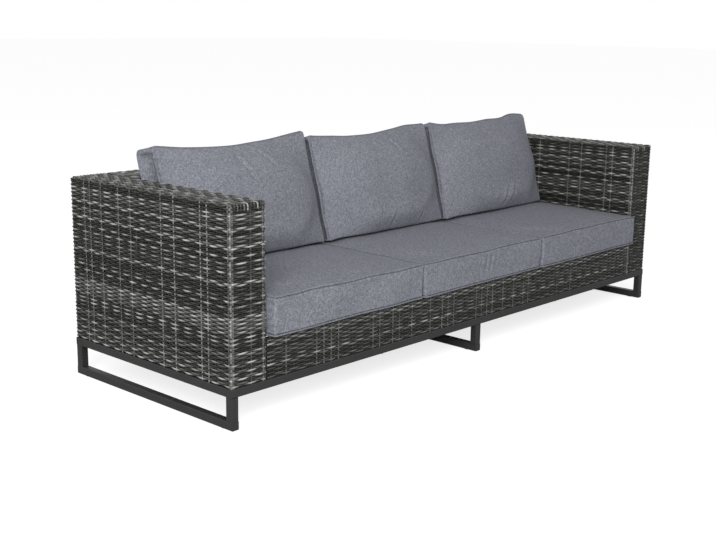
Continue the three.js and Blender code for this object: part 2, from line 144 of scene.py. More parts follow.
# Cushions: half sizes between the seams, in each cushion's own frame (across, along, out)
SIM_FRAMES = 20
TINY = 1e-9
CLOTH = {
    "quality": 6, "mass": 0.3, "tension_stiffness": 30, "compression_stiffness": 30,
    "shear_stiffness": 12, "bending_stiffness": 0.6, "use_pressure": True, "uniform_pressure_force": 4.0,
    "vertex_group_shrink": "seam", "shrink_min": -0.03, "shrink_max": 0.07,
}
EDGE_LINES = (0.0, 0.003, 0.007, 0.012, 0.019)
ON_SIDE = 0.999
SOFT_CLIP = 0.003
ROUGHEN = 0.0018
ROUGH_WAVES = 6
ROUGH_FREQUENCY = 22
SEAT_HALF = (0.3215, 0.309, 0.055)
SEAT_STEP = 0.011
SEAT_SIDE_STEP = 0.012
SEAT_CORNER = 0.004
SEAT_EDGE_ROUND = 0.008
SEAT_CROWN = 0.0035
SEAT_BULGE = 0.002
SEAT_CAP = 0.006
SEAT_SHIFT = 0.005
SEAT_ASIDE = 0.003
SEAT_LIFT = 0.001
SEAT_GROUND = 0.0005
BACK_HALF_HEIGHT = 0.196
BACK_HALF_DEPTH = 0.040
BACK_STEP = 0.009
BACK_SIDE_STEP = 0.011
BACK_TOP_CORNER = 0.024
BACK_FOOT_CORNER = 0.012
BACK_EDGE_ROUND = 0.013
BACK_CROWN = 0.052
BACK_REAR_CROWN = 0.018
BACK_BULGE = -0.014
BACK_REAR_DROP = 0.018
BACK_CAP = 0.020
BACK_EVENING = 40
BACK_LEAN = math.radians(15.5)
BACK_CENTRE = (0.123, 0.5162)
BACK_SEAM_SHIFT = -0.0135
BACK_LOWER_FULLNESS = 6
BACK_ROUNDNESS = 2.3
BACK_FOOT_SHARE = 0.5
BACK_SAG = 0.020
BACK_SAG_SIDE_LOSS = 0.6
BACK_SAG_PLACE = -0.8
BACK_SAG_REACH = 0.35
BACK_SEED = 10
SEAT_TOP = 0.3728
BACK_FACE = 0.2295
VALLEY_DEPTH = 0.007
VALLEY_WIDTH = 0.035
TOP_SAMPLES = 81
TOP_WINDOW = 17

# Finishes: noise scales of the cloth's yarns and cloud, and what they add to its tone
YARN_ALONG = 110.0
YARN_ACROSS = 430.0
YARN_GAIN = 0.40
YARN_BASE = 0.07
CLOTH_CLOUD = (60.0, 60.0, 60.0)
CLOUD_GAIN = 0.06
GRAIN_PER_CLOUD = 90

# Seams, piping and folds
PIPING_RADIUS = 0.003
PIPING_STAND = 0.0042
PIPING_SIDES = 8
SEAM_SAMPLES = 4
# painted_shade is how dark the material paints each seam; seat seams keep side_share of it where they don't
# face the front
SEAT_SEAM = {"depth": 0.0025, "painted_shade": 0.85, "reach": 0.0028, "side_share": 0.6}
BACK_SEAM = {"depth": 0.0022, "painted_shade": 0.4, "reach": 0.0036}
SEAM_RIDGE = 0.35
SEAM_RIDGE_PLACE = 2.6
SEAM_RIDGE_WIDTH = 1.3
FRONT_NORMAL = -0.5
CREASE_SPAN = (-0.5, 1.5)
CREASE_PEAK = 0.4
CREASE_REACH = 0.42
RIDGE_SHARE = 0.8
RIDGE_PLACE = 1.7
RIDGE_WIDTH = 1.2
PANEL_SHARE = 0.6

# Each back cushion's ends along X, its rear corners' flare, the lean of its two ends, and the height of
# its top seam at even steps; first the left end, then the right
BACK_SPANS = {"left": (-0.9685, -0.307), "middle": (-0.3275, 0.3205), "right": (0.3035, 0.969)}
BACK_FLARES = {"left": (0.018, 0.0), "middle": (0.0, 0.0), "right": (0.0, 0.008)}
BACK_TAPERS = {"left": (0.0, -0.002), "middle": (0.004, -0.004), "right": (0.009, 0.0)}
BACK_TOPS = {
    "left": (0.227, 0.218, 0.217, 0.212, 0.219, 0.227, 0.229),
    "middle": (0.214, 0.211, 0.208, 0.208, 0.219, 0.225, 0.220),
    "right": (0.219, 0.215, 0.217, 0.217, 0.220, 0.231, 0.218),
}

# Folds: two points on the panel, then width and depth
SEAT_CREASES = {
    "left": [((-0.285, -0.045), (-0.27, 0.0), 0.004, 0.002),
             ((0.26, 0.03), (0.275, -0.03), 0.004, 0.0018)],
    "middle": [((-0.025, 0.02), (-0.03, -0.04), 0.0035, 0.004),
               ((0.005, 0.035), (0.0, -0.035), 0.0035, 0.005),
               ((0.032, 0.03), (0.03, -0.04), 0.0035, 0.0045),
               ((0.06, 0.03), (0.055, -0.015), 0.0035, 0.0035)],
    "right": [((-0.27, 0.03), (-0.28, -0.02), 0.004, 0.0018)],
}
BACK_CREASES = {
    "left": [((0.05, 0.18), (0.13, 0.08), 0.0055, 0.008), ((-0.04, 0.175), (0.015, 0.04), 0.0055, 0.0075),
             ((-0.25, 0.17), (-0.22, 0.12), 0.0045, 0.0035)],
    "middle": [((-0.06, 0.18), (0.0, 0.11), 0.0055, 0.006), ((0.04, 0.185), (0.09, 0.10), 0.0055, 0.006),
               ((-0.09, -0.15), (-0.10, -0.09), 0.006, 0.002), ((-0.03, -0.15), (0.0, -0.09), 0.006, 0.0025),
               ((0.13, -0.155), (0.16, -0.10), 0.006, 0.0022)],
    "right": [((-0.06, 0.18), (0.02, 0.11), 0.0055, 0.0055), ((-0.01, -0.15), (0.04, -0.07), 0.007, 0.003),
              ((0.03, -0.155), (0.09, -0.06), 0.007, 0.003)],
}


def unit(rows):
    """Rows scaled to length 1."""
    return rows / np.linalg.norm(rows, axis=-1, keepdims=True)


def linked_object(name, data):
    obj = bpy.data.objects.new(name, data)
    bpy.context.scene.collection.objects.link(obj)
    return obj


def distances(points):
    """Running length along a line of points."""
    steps = np.linalg.norm(np.diff(points, axis=0), axis=1)
    return np.concatenate([[0.0], np.cumsum(steps)])


def rounded_path(corners, radius, step):
    """Points and outward normals along a flat polyline whose inner corners are rounded.

    The outward side is to the left of the direction of travel.
    """
    corners = [np.array(c, float) for c in corners]
    points, normals = [], []

    def straight(a, b):
        along = (b - a) / np.linalg.norm(b - a)
        count = max(1, round(np.linalg.norm(b - a) / step))
        for i in range(count + 1):
            points.append(a + (b - a) * i / count)
            normals.append(np.array([-along[1], along[0]]))

    start = corners[0]
    for before, corner, after in zip(corners, corners[1:], corners[2:]):
        inward = (before - corner) / np.linalg.norm(before - corner)
        outward = (after - corner) / np.linalg.norm(after - corner)
        straight(start, corner + inward * radius)
        centre = corner + (inward + outward) * radius
        count = max(2, round(radius * math.pi / 2 / CORNER_STEP))
        for i in range(1, count):
            turn = math.pi / 2 * i / count
            normal = -outward * math.cos(turn) - inward * math.sin(turn)
            points.append(centre + normal * radius)
            normals.append(normal)
        start = corner + outward * radius
    straight(start, corners[-1])
    return np.array(points), np.array(normals)


def at_lengths(points, normals, run, lengths):
    """Points and unit normals of a flat path at the given lengths along it."""
    place = np.stack([np.interp(lengths, run, points[:, k]) for k in (0, 1)], axis=1)
    normal = np.stack([np.interp(lengths, run, normals[:, k]) for k in (0, 1)], axis=1)
    return place, unit(normal)


def nearest_distances(points, along, places):
    """Lengths along a path at the samples nearest to the given places, in order."""
    found = [along[np.argmin(np.linalg.norm(points - np.array(p), axis=1))] for p in places]
    return np.array(sorted(found))


class Weave:
    """Collects strips of woven strand into one mesh."""

    def __init__(self, seed):
        self.random = np.random.default_rng(seed)
        self.verts, self.faces, self.strands, self.tones = [], [], [], []
        self.count = 0

    def tone(self, rows, samples, lights=None, middle_share=MIDDLE_SHARE):
        """A tone for each row, 0 dark to 1 light, that wanders a little along it."""
        draw = self.random.random(rows)
        light = draw < LIGHT_SHARE if lights is None else np.isin(np.arange(rows), lights)
        middle = (draw >= LIGHT_SHARE) & (draw < LIGHT_SHARE + middle_share)
        level = np.where(light, LIGHT_TONE, np.where(middle, MIDDLE_TONE, DARK_TONE))
        level = level + self.random.normal(0, TONE_SPREAD, rows)
        drift = self.random.normal(0, TONE_DRIFT, (rows, 1 + samples // DRIFT_STEP))
        at = np.linspace(0, drift.shape[1] - 1, samples)
        wander = np.array([np.interp(at, np.arange(drift.shape[1]), d) for d in drift])
        return np.clip(level[:, None] + wander, 0, 1)

    def add(self, centre, normal, width, tone, drop=EDGE_DROP):
        """Adds strips: centre and normal are (rows, samples, 3), tone is (rows, samples)."""
        rows, samples, _ = centre.shape
        across = unit(np.cross(normal, unit(np.gradient(centre, axis=1))))
        width = np.broadcast_to(width, (rows, samples))
        verts = (centre[:, :, None]
                 + across[:, :, None] * (STRAND_OFFSETS * width[:, :, None])[..., None]
                 - normal[:, :, None] * (STRAND_DROPS * drop)[None, None, :, None])
        cross = len(STRAND_OFFSETS)
        index = self.count + np.arange(rows * samples * cross).reshape(rows, samples, cross)
        start, end = index[:, :-1], index[:, 1:]
        quads = np.stack([start[..., :-1], end[..., :-1], end[..., 1:], start[..., 1:]], axis=-1)
        steps = np.linalg.norm(np.diff(centre, axis=1), axis=2)
        run = np.concatenate([np.zeros((rows, 1)), np.cumsum(steps, axis=1)], axis=1)
        seed = self.random.random(rows) * 100
        strand = np.empty((rows, samples, cross, 3))
        strand[..., 0] = run[:, :, None]
        strand[..., 1] = STRAND_OFFSETS[None, None, :]
        strand[..., 2] = seed[:, None, None]
        self.verts.append(verts.reshape(-1, 3))
        self.faces.append(quads.reshape(-1, 4))
        self.strands.append(strand.reshape(-1, 3))
        self.tones.append(np.repeat(tone[:, :, None], cross, axis=2).reshape(-1))
        self.count += rows * samples * cross

    def add_rows(self, centre, normal, along, warps, lights=None, first=0, width=ROW_WIDTH, level=1.0):
        """Rows that wave over and under the warps, which lie at the given lengths along them."""
        rows, samples, _ = centre.shape
        phase = np.interp(along, warps, np.arange(len(warps)))
        row = first + np.arange(rows)[:, None]
        swing = np.cos(math.pi * (phase[None, :] + row))
        strength = WAVE * self.random.uniform(*WAVE_RANGE, (rows, 1))
        rise = strength * np.sign(swing) * np.abs(swing) ** WAVE_POWER
        sway = self.random.normal(0, SWAY, (rows, samples))
        kernel = np.ones(SWAY_WINDOW) / SWAY_WINDOW
        sway = np.array([np.convolve(s, kernel, mode="same") for s in sway])
        sideways = unit(np.cross(normal, np.gradient(centre, axis=1)))
        place = centre + normal * rise[:, :, None] + sideways * sway[:, :, None]
        dash = np.floor(phase[None, :] + 0.5 + np.zeros((rows, 1))).astype(int)
        gain = self.random.uniform(*DASH_GAINS, (rows, dash.max() + 2))
        gain = np.take_along_axis(gain, dash, axis=1)
        # Painted shade: a strand's tone darkens where it dips under a warp
        height = (rise / strength + 1) / 2
        shade = UNDER_SHADE + (1 - UNDER_SHADE) * height
        tone = self.tone(rows, samples, lights) * gain * level * shade
        self.add(place, normal, width * (LOW_WIDTH_SHARE + WIDTH_GAIN * height), np.clip(tone, 0, 1))

    def add_warps(self, centre, normal, lights=None, gain=WARP_GAIN):
        """Upright strands, straight and mostly covered by the rows; the dark ones get painted shade, as if
        sunk in the shade of the rows.
        """
        rows, samples, _ = centre.shape
        tone = self.tone(rows, samples, lights, WARP_MIDDLE_SHARE) * gain
        tone = np.where(tone > DARK_WARP_LIMIT * gain, tone, tone * WARP_PAINTED_SHADE)
        self.add(centre - normal * WARP_SINK, normal, WARP_WIDTH, tone, EDGE_DROP / 2)

    def add_shade_lining(self, points, normals, extrude_from, extrude_to):
        """A dark wall behind the strands, painted shade of the hollow inside the weave: the path drawn out
        between two offsets.
        """
        low = points - normals * (LINING_DEPTH - SINK) + extrude_from
        high = points - normals * (LINING_DEPTH - SINK) + extrude_to
        verts = np.stack([low, high], axis=1)
        count = len(points)
        index = self.count + np.arange(count * 2).reshape(count, 2)
        quads = np.stack([index[:-1, 0], index[1:, 0], index[1:, 1], index[:-1, 1]], axis=-1)
        self.verts.append(verts.reshape(-1, 3))
        self.faces.append(quads)
        self.strands.append(np.zeros((count * 2, 3)))
        # Tone 0, the darkest: painted shade inside the weave
        self.tones.append(np.zeros(count * 2))
        self.count += count * 2

    def build(self, name):
        """One mesh object of all strips, with each point's tone and place along its strand."""
        verts = np.concatenate(self.verts)
        faces = np.concatenate(self.faces)
        mesh = bpy.data.meshes.new(name)
        mesh.vertices.add(len(verts))
        mesh.vertices.foreach_set("co", verts.astype(np.float32).ravel())
        mesh.loops.add(len(faces) * 4)
        mesh.loops.foreach_set("vertex_index", faces.astype(np.int32).ravel())
        mesh.polygons.add(len(faces))
        mesh.polygons.foreach_set("loop_start", np.arange(0, len(faces) * 4, 4, dtype=np.int32))
        mesh.polygons.foreach_set("use_smooth", np.ones(len(faces), dtype=bool))
        mesh.update(calc_edges=True)
        tone = mesh.attributes.new("tone", "FLOAT", "POINT")
        tone.data.foreach_set("value", np.concatenate(self.tones).astype(np.float32))
        strand = mesh.attributes.new("strand", "FLOAT_VECTOR", "POINT")
        strand.data.foreach_set("vector", np.concatenate(self.strands).astype(np.float32).ravel())
        return linked_object(name, mesh)


def in_space(points, first, second, origin=(0, 0, 0)):
    """Flat points or directions placed in space: origin + first * u + second * v."""
    origin, first, second = (np.array(v, float) for v in (origin, first, second))
    return origin + points[..., 0:1] * first + points[..., 1:2] * second


def even_rows(start, stop):
    """Row places between two lengths, at the weave's pitch, centred."""
    count = int((stop - start) / ROW_PITCH)
    slack = (stop - start - count * ROW_PITCH) / 2
    return start + slack + ROW_PITCH * (np.arange(count) + 0.5)


def copied(line, normals, values, axis):
    """Rows that are copies of a line of points, each at its own value along one axis."""
    centre = np.repeat(line[None], len(values), axis=0)
    centre[:, :, axis] = values[:, None]
    return centre, np.repeat(normals[None], len(values), axis=0)


def drawn_out(points, normals, values, axis):
    """Straight rows through points, with samples at the given values along one axis."""
    centre, normal = copied(points, normals, values, axis)
    return centre.swapaxes(0, 1), normal.swapaxes(0, 1)


class Arm:
    """One arm's slab and the flat paths that its strands follow.

    The plan loop has u outward and v to the front, and starts at the rear inner corner. The profile
    over the top has u outward and v up.
    """

    def __init__(self, side):
        low, high = (np.array(c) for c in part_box(f"{side}_arm_wicker"))
        self.middle = (low + high) / 2
        self.sign = 1 if side == "left" else -1
        self.half_x = (high[0] - low[0]) / 2 - SINK
        self.half_y = (high[1] - low[1]) / 2 - SINK
        self.foot = low[2]
        self.top = high[2] - SINK
        self.radius = EDGE_RADIUS - SINK
        self.outward, self.front, self.up = (-self.sign, 0, 0), (0, -1, 0), (0, 0, 1)
        self.make_plan()
        self.make_profile()

    def make_plan(self):
        x, y = self.half_x, self.half_y
        corners = [(-x, -y + PLAN_START), (-x, -y), (x, -y), (x, y), (-x, y), (-x, -y + PLAN_START)]
        self.plan, self.plan_normal = rounded_path(corners[::-1], self.radius, STRAND_STEP)
        self.run = distances(self.plan)
        count = int((2 * y - 2 * CORNER_WARP_OFFSET) / WARP_PITCH)
        pitch = (2 * y - 2 * CORNER_WARP_OFFSET) / count
        self.side_warps = y - CORNER_WARP_OFFSET - pitch * np.arange(count + 1)
        self.face_warps = [x + SINK - w for w in FACE_WARPS]
        corners = [(u, v) for u in (x, -x) for v in (y, -y)]
        self.corner_runs = nearest_distances(self.plan, self.run, corners)

    def make_profile(self):
        x, foot, top = self.half_x, self.foot, self.top
        corners = [(-x, foot), (-x, top), (x, top), (x, foot)]
        self.profile, self.profile_normal = rounded_path(corners, self.radius, STRAND_STEP)
        self.profile_run = distances(self.profile)
        self.arc_start = top - self.radius - foot
        self.stations = even_rows(0, self.profile_run[-1])

    def flat(self, points):
        """Points of the plan in space, at the floor's level."""
        return in_space(points, self.outward, self.front, (*self.middle[:2], 0))

    def plan_out(self):
        """The plan's outward directions in space."""
        return in_space(self.plan_normal, self.outward, self.front)

    def upright(self, points):
        """Points of the profile in space, at the arm's mid depth."""
        return in_space(points, self.outward, self.up, (*self.middle[:2], 0))


def arm_walls(side, arm):
    """The rows that wind round the slab."""
    weave = Weave(ARM_SEEDS[side][0])
    places = [(u, v) for u in (arm.half_x, -arm.half_x) for v in arm.side_warps]
    places += [(u, v) for u in arm.face_warps for v in (arm.half_y, -arm.half_y)]
    warps = np.sort(np.concatenate([nearest_distances(arm.plan, arm.run, places), arm.corner_runs]))
    levels = arm.foot + arm.stations[arm.stations < arm.arc_start]
    rows = copied(arm.flat(arm.plan), arm.plan_out(), levels[::-1], 2)
    # Painted light and shade on the front faces, by arm
    level = np.where(arm.plan_normal[:, 1] > FRONT_FACING, FACE_PAINTED_LIGHT_LEVELS[side], 1.0)
    weave.add_rows(*rows, arm.run, warps, ARM_LIGHT_ROWS, level=level)
    return weave.build(f"{side}_arm_weave_walls")


def add_top_rows(weave, arm, wrap, wrap_normal):
    """Lengthwise rows over the top, which follow the wrap path down at both ends."""
    last = arm.profile_run[-1] - arm.arc_start
    stations = arm.stations[(arm.stations >= arm.arc_start) & (arm.stations <= last)]
    base, base_normal = at_lengths(arm.profile, arm.profile_normal, arm.profile_run, stations)
    run = distances(wrap)
    out = in_space(base_normal, arm.outward, arm.up)
    depth = np.repeat(wrap[None, :, 1], len(stations), axis=0)
    on_corner = np.abs(base_normal[:, 1]) < TOP_FACING
    past = np.minimum(depth[on_corner] + arm.radius, 0)
    depth[on_corner] -= past * (1 - CORNER_TUCK)
    forward = np.array(arm.front, float)
    centre = arm.upright(base)[:, None] + forward * wrap[None, :, 0:1] + out[:, None] * depth[:, :, None]
    normal = forward * wrap_normal[None, :, 0:1] + out[:, None] * wrap_normal[None, :, 1:2]
    warps = nearest_distances(wrap, run, [(v, 0) for v in arm.side_warps])
    # The top rows carry painted shade through their gain
    weave.add_rows(centre, normal, run, warps, TOP_LIGHT_ROWS, 0, TOP_ROW_WIDTH, TOP_PAINTED_SHADE_GAIN)


def add_uprights(weave, arm, light_face_warps):
    """Upright strands: over the top for the sides, then on the two end faces and the corners."""
    out = in_space(arm.profile_normal, arm.outward, arm.up)
    rows = copied(arm.upright(arm.profile), out, arm.middle[1] - arm.side_warps, 1)
    weave.add_warps(*rows, SIDE_LIGHT_WARPS)
    heights = np.linspace(arm.foot, arm.top - arm.radius, UPRIGHT_SAMPLES)
    for end in (1, -1):
        face = np.array([(u, end * arm.half_y) for u in arm.face_warps])
        out = np.repeat([(0.0, -end, 0.0)], len(face), axis=0)
        weave.add_warps(*drawn_out(arm.flat(face), out, heights, 2), light_face_warps)
    corner, corner_normal = at_lengths(arm.plan, arm.plan_normal, arm.run, arm.corner_runs)
    out = in_space(corner_normal, arm.outward, arm.front)
    rows = drawn_out(arm.flat(corner), out, heights, 2)
    # All corner warps take the light tone: light strands, and partly a painted highlight where the rounded
    # corners catch the light
    weave.add_warps(*rows, range(len(corner)), CORNER_GAIN)


def arm_top(side, arm):
    """The rows over the top, which tuck in at both ends, all upright strands, and all the dark lining that
    is painted shade behind the strands.
    """
    weave = Weave(ARM_SEEDS[side][1])
    y = arm.half_y
    corners = [(y, -TUCK), (y, 0), (-y, 0), (-y, -TUCK)]
    wrap, wrap_normal = rounded_path(corners[::-1], arm.radius, STRAND_STEP)
    add_top_rows(weave, arm, wrap, wrap_normal)
    add_uprights(weave, arm, FACE_LIGHT_WARPS[side])
    walls_top = arm.top - arm.radius - LINING_GAP
    weave.add_shade_lining(arm.flat(arm.plan), arm.plan_out(), (0, 0, arm.foot), (0, 0, walls_top))
    reach = np.array(arm.front, float) * (y - arm.radius)
    out = in_space(arm.profile_normal, arm.outward, arm.up)
    weave.add_shade_lining(arm.upright(arm.profile), out, reach, -reach)
    ends = in_space(wrap, arm.front, arm.up, (*arm.middle[:2], arm.top))
    reach = np.array(arm.outward) * (arm.half_x - arm.radius)
    weave.add_shade_lining(ends, in_space(wrap_normal, arm.front, arm.up), reach, -reach)
    return weave.build(f"{side}_arm_weave_top")


def woven_sheet(name, corners, seed, start=0.0, stop=None, step=STRAND_STEP, phase=0,
                light_warps=None, warp_gain=WARP_GAIN):
    """Lengthwise rows on a profile seen along X, u backward and v up, between the arms."""
    low, high = (c[0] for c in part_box("back_wicker"))
    weave = Weave(seed)
    profile, profile_normal = rounded_path(corners, EDGE_RADIUS - SINK, CORNER_STEP * 2)
    run = distances(profile)
    stop = run[-1] if stop is None else stop
    backward, up = (0, 1, 0), (0, 0, 1)
    base, base_normal = at_lengths(profile, profile_normal, run, even_rows(start, stop))
    xs = np.linspace(low, high, round((high - low) / step))
    warp_count = round((high - low) / WARP_PITCH / SHEET_WARP_SPREAD)
    warp_xs = low + (high - low) / warp_count * (np.arange(warp_count) + 0.5)
    rows = drawn_out(in_space(base, backward, up), in_space(base_normal, backward, up), xs, 0)
    weave.add_rows(*rows, xs, warp_xs, None, phase)
    inside = (run >= start - ROW_PITCH) & (run <= stop + ROW_PITCH)
    wall = in_space(profile[inside], backward, up)
    out = in_space(profile_normal[inside], backward, up)
    weave.add_warps(*copied(wall, out, warp_xs, 0), light_warps, warp_gain)
    weave.add_shade_lining(wall, out, (high, 0, 0), (low, 0, 0))
    return weave.build(name)


def woven_back():
    """The back between the arms, in three strips: the face, the rounded top and the rear."""
    low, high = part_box("back_wicker")
    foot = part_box("seat_wicker")[1][2] - FACE_OVERLAP
    front, rear, top = low[1] + SINK, high[1] - SINK, high[2] - SINK
    corners = [(front, foot), (front, top), (rear, top), (rear, low[2])]
    face_end = top - foot - EDGE_RADIUS
    top_end = face_end + (rear - front) + EDGE_RADIUS
    face, over, behind = BACK_SEEDS
    return [
        woven_sheet("back_weave_face", corners, face, 0, face_end),
        woven_sheet("back_weave_top", corners, over, face_end, top_end, phase=1),
        woven_sheet("back_weave_rear", corners, behind, top_end, None, REAR_STEP),
    ]


def woven_seat():
    """The apron under the cushions and the deck that carries them."""
    low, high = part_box("seat_wicker")
    front, rear, top = low[1] + SINK, high[1], high[2] - SINK
    corners = [(front, low[2]), (front, top), (rear, top)]
    apron_end = top - low[2]
    apron, deck = SEAT_SEEDS
    return [
        woven_sheet("apron_weave", corners, apron, 0, apron_end,
                    light_warps=APRON_LIGHT_WARPS, warp_gain=APRON_WARP_GAIN),
        woven_sheet("deck_weave", corners, deck, apron_end, None, DECK_STEP),
    ]


def panel_lines(half, step):
    """Grid lines across a panel: close together beside its two seams, even between."""
    inner = half - EDGE_LINES[-1]
    count = max(1, round(2 * inner / step))
    middle = np.linspace(-inner, inner, count + 1)
    edge = np.array(EDGE_LINES[:-1])
    return np.concatenate([edge - half, middle, (half - edge)[::-1]])


def shell_grid(us, vs, ws):
    """A closed box surface of quads on grid lines; returns places, faces and the two seam loops."""
    index, places = {}, []
    last = (len(us) - 1, len(vs) - 1, len(ws) - 1)

    def corner(i, j, k):
        if (i, j, k) not in index:
            index[i, j, k] = len(places)
            places.append((us[i], vs[j], ws[k]))
        return index[i, j, k]

    faces = []

    def panel(steps_a, steps_b, at, flip):
        for a in range(steps_a):
            for b in range(steps_b):
                quad = [corner(*at(a + i, b + j)) for i, j in ((0, 0), (1, 0), (1, 1), (0, 1))]
                faces.append(quad[::-1] if flip else quad)

    panel(last[0], last[1], lambda a, b: (a, b, last[2]), False)
    panel(last[0], last[1], lambda a, b: (a, b, 0), True)
    panel(last[1], last[2], lambda a, b: (last[0], a, b), False)
    panel(last[1], last[2], lambda a, b: (0, a, b), True)
    panel(last[0], last[2], lambda a, b: (a, 0, b), False)
    panel(last[0], last[2], lambda a, b: (a, last[1], b), True)
    ring = [(i, 0) for i in range(last[0])] + [(last[0], j) for j in range(last[1])]
    ring += [(i, last[1]) for i in range(last[0], 0, -1)] + [(0, j) for j in range(last[1], 0, -1)]
    loops = [[index[i, j, k] for i, j in ring] for k in (last[2], 0)]
    return np.array(places), faces, loops


def round_plan(points, half, radius, far_radius):
    """Rounds the corners of the panels: radius at the near end, far_radius at the far end."""
    out = points.copy()
    radius = np.where(points[:, 1] > 0, far_radius, radius)[:, None]
    past = np.maximum(np.abs(points[:, :2]) - (np.array(half[:2]) - radius), 0) / radius
    bent = past * np.sqrt(1 - past[:, ::-1] ** 2 / 2)
    out[:, :2] += np.sign(points[:, :2]) * (bent - past) * radius
    return out


def round_edges(points, half, radius):
    """Rounds the edges where the panels meet the sides, so that each seam lies on the turn."""
    out = points.copy()
    past_w = np.maximum(np.abs(points[:, 2]) - (half[2] - radius), 0) / radius
    for axis in (0, 1):
        past = np.maximum(np.abs(points[:, axis]) - (half[axis] - radius), 0) / radius
        bent = past * np.sqrt(1 - past_w ** 2 / 2)
        out[:, axis] += np.sign(points[:, axis]) * (bent - past) * radius
    past = np.maximum(np.max(np.abs(points[:, :2]) - np.array(half[:2]) + radius, axis=1), 0) / radius
    bent = past_w * np.sqrt(1 - past ** 2 / 2)
    out[:, 2] += np.sign(points[:, 2]) * (bent - past_w) * radius
    return out


def roughen(points, seed, size):
    """Small seeded unevenness, so that no two cushions fill alike."""
    random = np.random.default_rng(seed)
    out = points.copy()
    for _ in range(ROUGH_WAVES):
        wave = random.normal(0, ROUGH_FREQUENCY, 3)
        shift = random.random() * 2 * math.pi
        out += random.normal(0, size / 2, 3) * np.sin(points @ wave + shift)[:, None]
    return out


def pillow(points, half, crowns, bulge, fullness=3, roundness=3, foot_share=1.0):
    """Crowns both panels and bows the sides between the seams, outward or, below 0, inward.

    A high roundness spreads the crown toward the panel's edges; fullness is the same for the lower
    half, and foot_share is how much of the crown is left at the foot.
    """
    out = points.copy()
    u, v, w = (points[:, i] / half[i] for i in range(3))
    steep = np.where(v < 0, fullness, roundness)
    dome = (1 - np.abs(u) ** roundness) * (1 - np.abs(v) ** steep)
    dome *= 1 - (1 - foot_share) * np.clip(-v, 0, 1)
    out[:, 2] += np.where(w > 0, crowns[0], -crowns[1]) * dome * np.abs(w)
    belly = np.cos(w * math.pi / 2) * bulge
    out[:, 0] += np.sign(u) * belly * (np.abs(u) > ON_SIDE)
    out[:, 1] += np.sign(v) * belly * (np.abs(v) > ON_SIDE)
    return out


def quad_object(name, places, faces, world):
    mesh = bpy.data.meshes.new(name)
    mesh.from_pydata([tuple(p) for p in places], [], faces)
    mesh.polygons.foreach_set("use_smooth", np.ones(len(faces), dtype=bool))
    mesh.update()
    obj = linked_object(name, mesh)
    obj.matrix_world = world
    return obj


def add_cloth(obj, seams):
    """Fabric that a steady pressure fills; it is gathered a little along the seams."""
    group = obj.vertex_groups.new(name="seam")
    group.add([int(i) for i in seams], 1.0, "REPLACE")
    cloth = obj.modifiers.new("cloth", "CLOTH")
    for name, value in CLOTH.items():
        setattr(cloth.settings, name, value)
    cloth.settings.effector_weights.gravity = 0
    cloth.collision_settings.use_collision = False
    cloth.collision_settings.use_self_collision = False
    cloth.point_cache.frame_start = 1
    cloth.point_cache.frame_end = SIM_FRAMES


def vectors(items, key):
    """A vector of each item of a mesh, as rows."""
    flat = np.empty(len(items) * 3)
    items.foreach_get(key, flat)
    return flat.reshape(-1, 3)


def mesh_places(mesh):
    return vectors(mesh.vertices, "co")


def set_places(mesh, places):
    mesh.vertices.foreach_set("co", places.ravel())
    mesh.update()


def evened(mesh, field, rounds):
    """A field of vectors on a mesh's points, averaged along the edges a number of times."""
    ends = np.empty(len(mesh.edges) * 2, dtype=np.int32)
    mesh.edges.foreach_get("vertices", ends)
    first, second = ends.reshape(-1, 2).T
    share = 1 / (1 + np.bincount(ends, minlength=len(field)))[:, None]
    for _ in range(rounds):
        total = field.copy()
        np.add.at(total, first, field[second])
        np.add.at(total, second, field[first])
        field = total * share
    return field


def fill_cushions(cushions):
    """Runs the cloth of all cushions at once, then evens each point's move and keeps it below a cap."""
    scene = bpy.context.scene
    for obj, seams, cap, rounds in cushions:
        add_cloth(obj, seams)
    for number in range(1, SIM_FRAMES + 1):
        scene.frame_set(number)
    graph = bpy.context.evaluated_depsgraph_get()
    moved = {obj.name: mesh_places(obj.evaluated_get(graph).data) for obj, *_ in cushions}
    for obj, seams, cap, rounds in cushions:
        start = mesh_places(obj.data)
        step = evened(obj.data, moved[obj.name] - start, rounds)
        length = np.maximum(np.linalg.norm(step, axis=1, keepdims=True), TINY)
        obj.modifiers.clear()
        obj.vertex_groups.clear()
        set_places(obj.data, start + step * cap * np.tanh(length / cap) / length)
    scene.frame_set(1)


def soft_floor(value, limit):
    """value kept above limit, with a smooth turn where it comes near."""
    return limit + SOFT_CLIP * np.logaddexp(0, (value - limit) / SOFT_CLIP)


def crease(places, start, end, width, depth, plane=(0, 1), out=2, side=1):
    """A fold pressed into a panel between two points: a furrow with a ridge beside it."""
    a, b = np.array(start), np.array(end)
    reach = np.linalg.norm(b - a)
    along = (b - a) / reach
    rest = places[:, plane] - a
    off = rest @ np.array([-along[1], along[0]])
    t = np.clip(rest @ along / reach, *CREASE_SPAN)
    taper = np.exp(-((t - CREASE_PEAK) / CREASE_REACH) ** 4)
    furrow = np.exp(-(off / width) ** 2)
    ridge = np.exp(-((off - RIDGE_PLACE * width) / (RIDGE_WIDTH * width)) ** 2)
    on_panel = places[:, out] * side > PANEL_SHARE * np.max(places[:, out] * side)
    places[:, out] += depth * taper * (RIDGE_SHARE * ridge - furrow) * on_panel * side


def subdivide(obj):
    modifier = obj.modifiers.new("smooth", "SUBSURF")
    modifier.levels = 1
    modifier.render_levels = 1
    graph = bpy.context.evaluated_depsgraph_get()
    mesh = bpy.data.meshes.new_from_object(obj.evaluated_get(graph))
    obj.modifiers.clear()
    old = obj.data
    obj.data = mesh
    mesh.name = obj.name
    bpy.data.meshes.remove(old)


def loop_line(places, loop):
    """A closed seam line, smoothed so that it runs evenly."""
    line = places[loop]
    for _ in range(2):
        line = (np.roll(line, 1, axis=0) + 2 * line + np.roll(line, -1, axis=0)) / 4
    return line


def mark_seam_shade(mesh, values):
    """Stores how near each point is to a seam, for the cloth's material, which paints shade there."""
    mark = mesh.attributes.new("seam", "FLOAT", "POINT")
    mark.data.foreach_set("value", values.astype(np.float32))


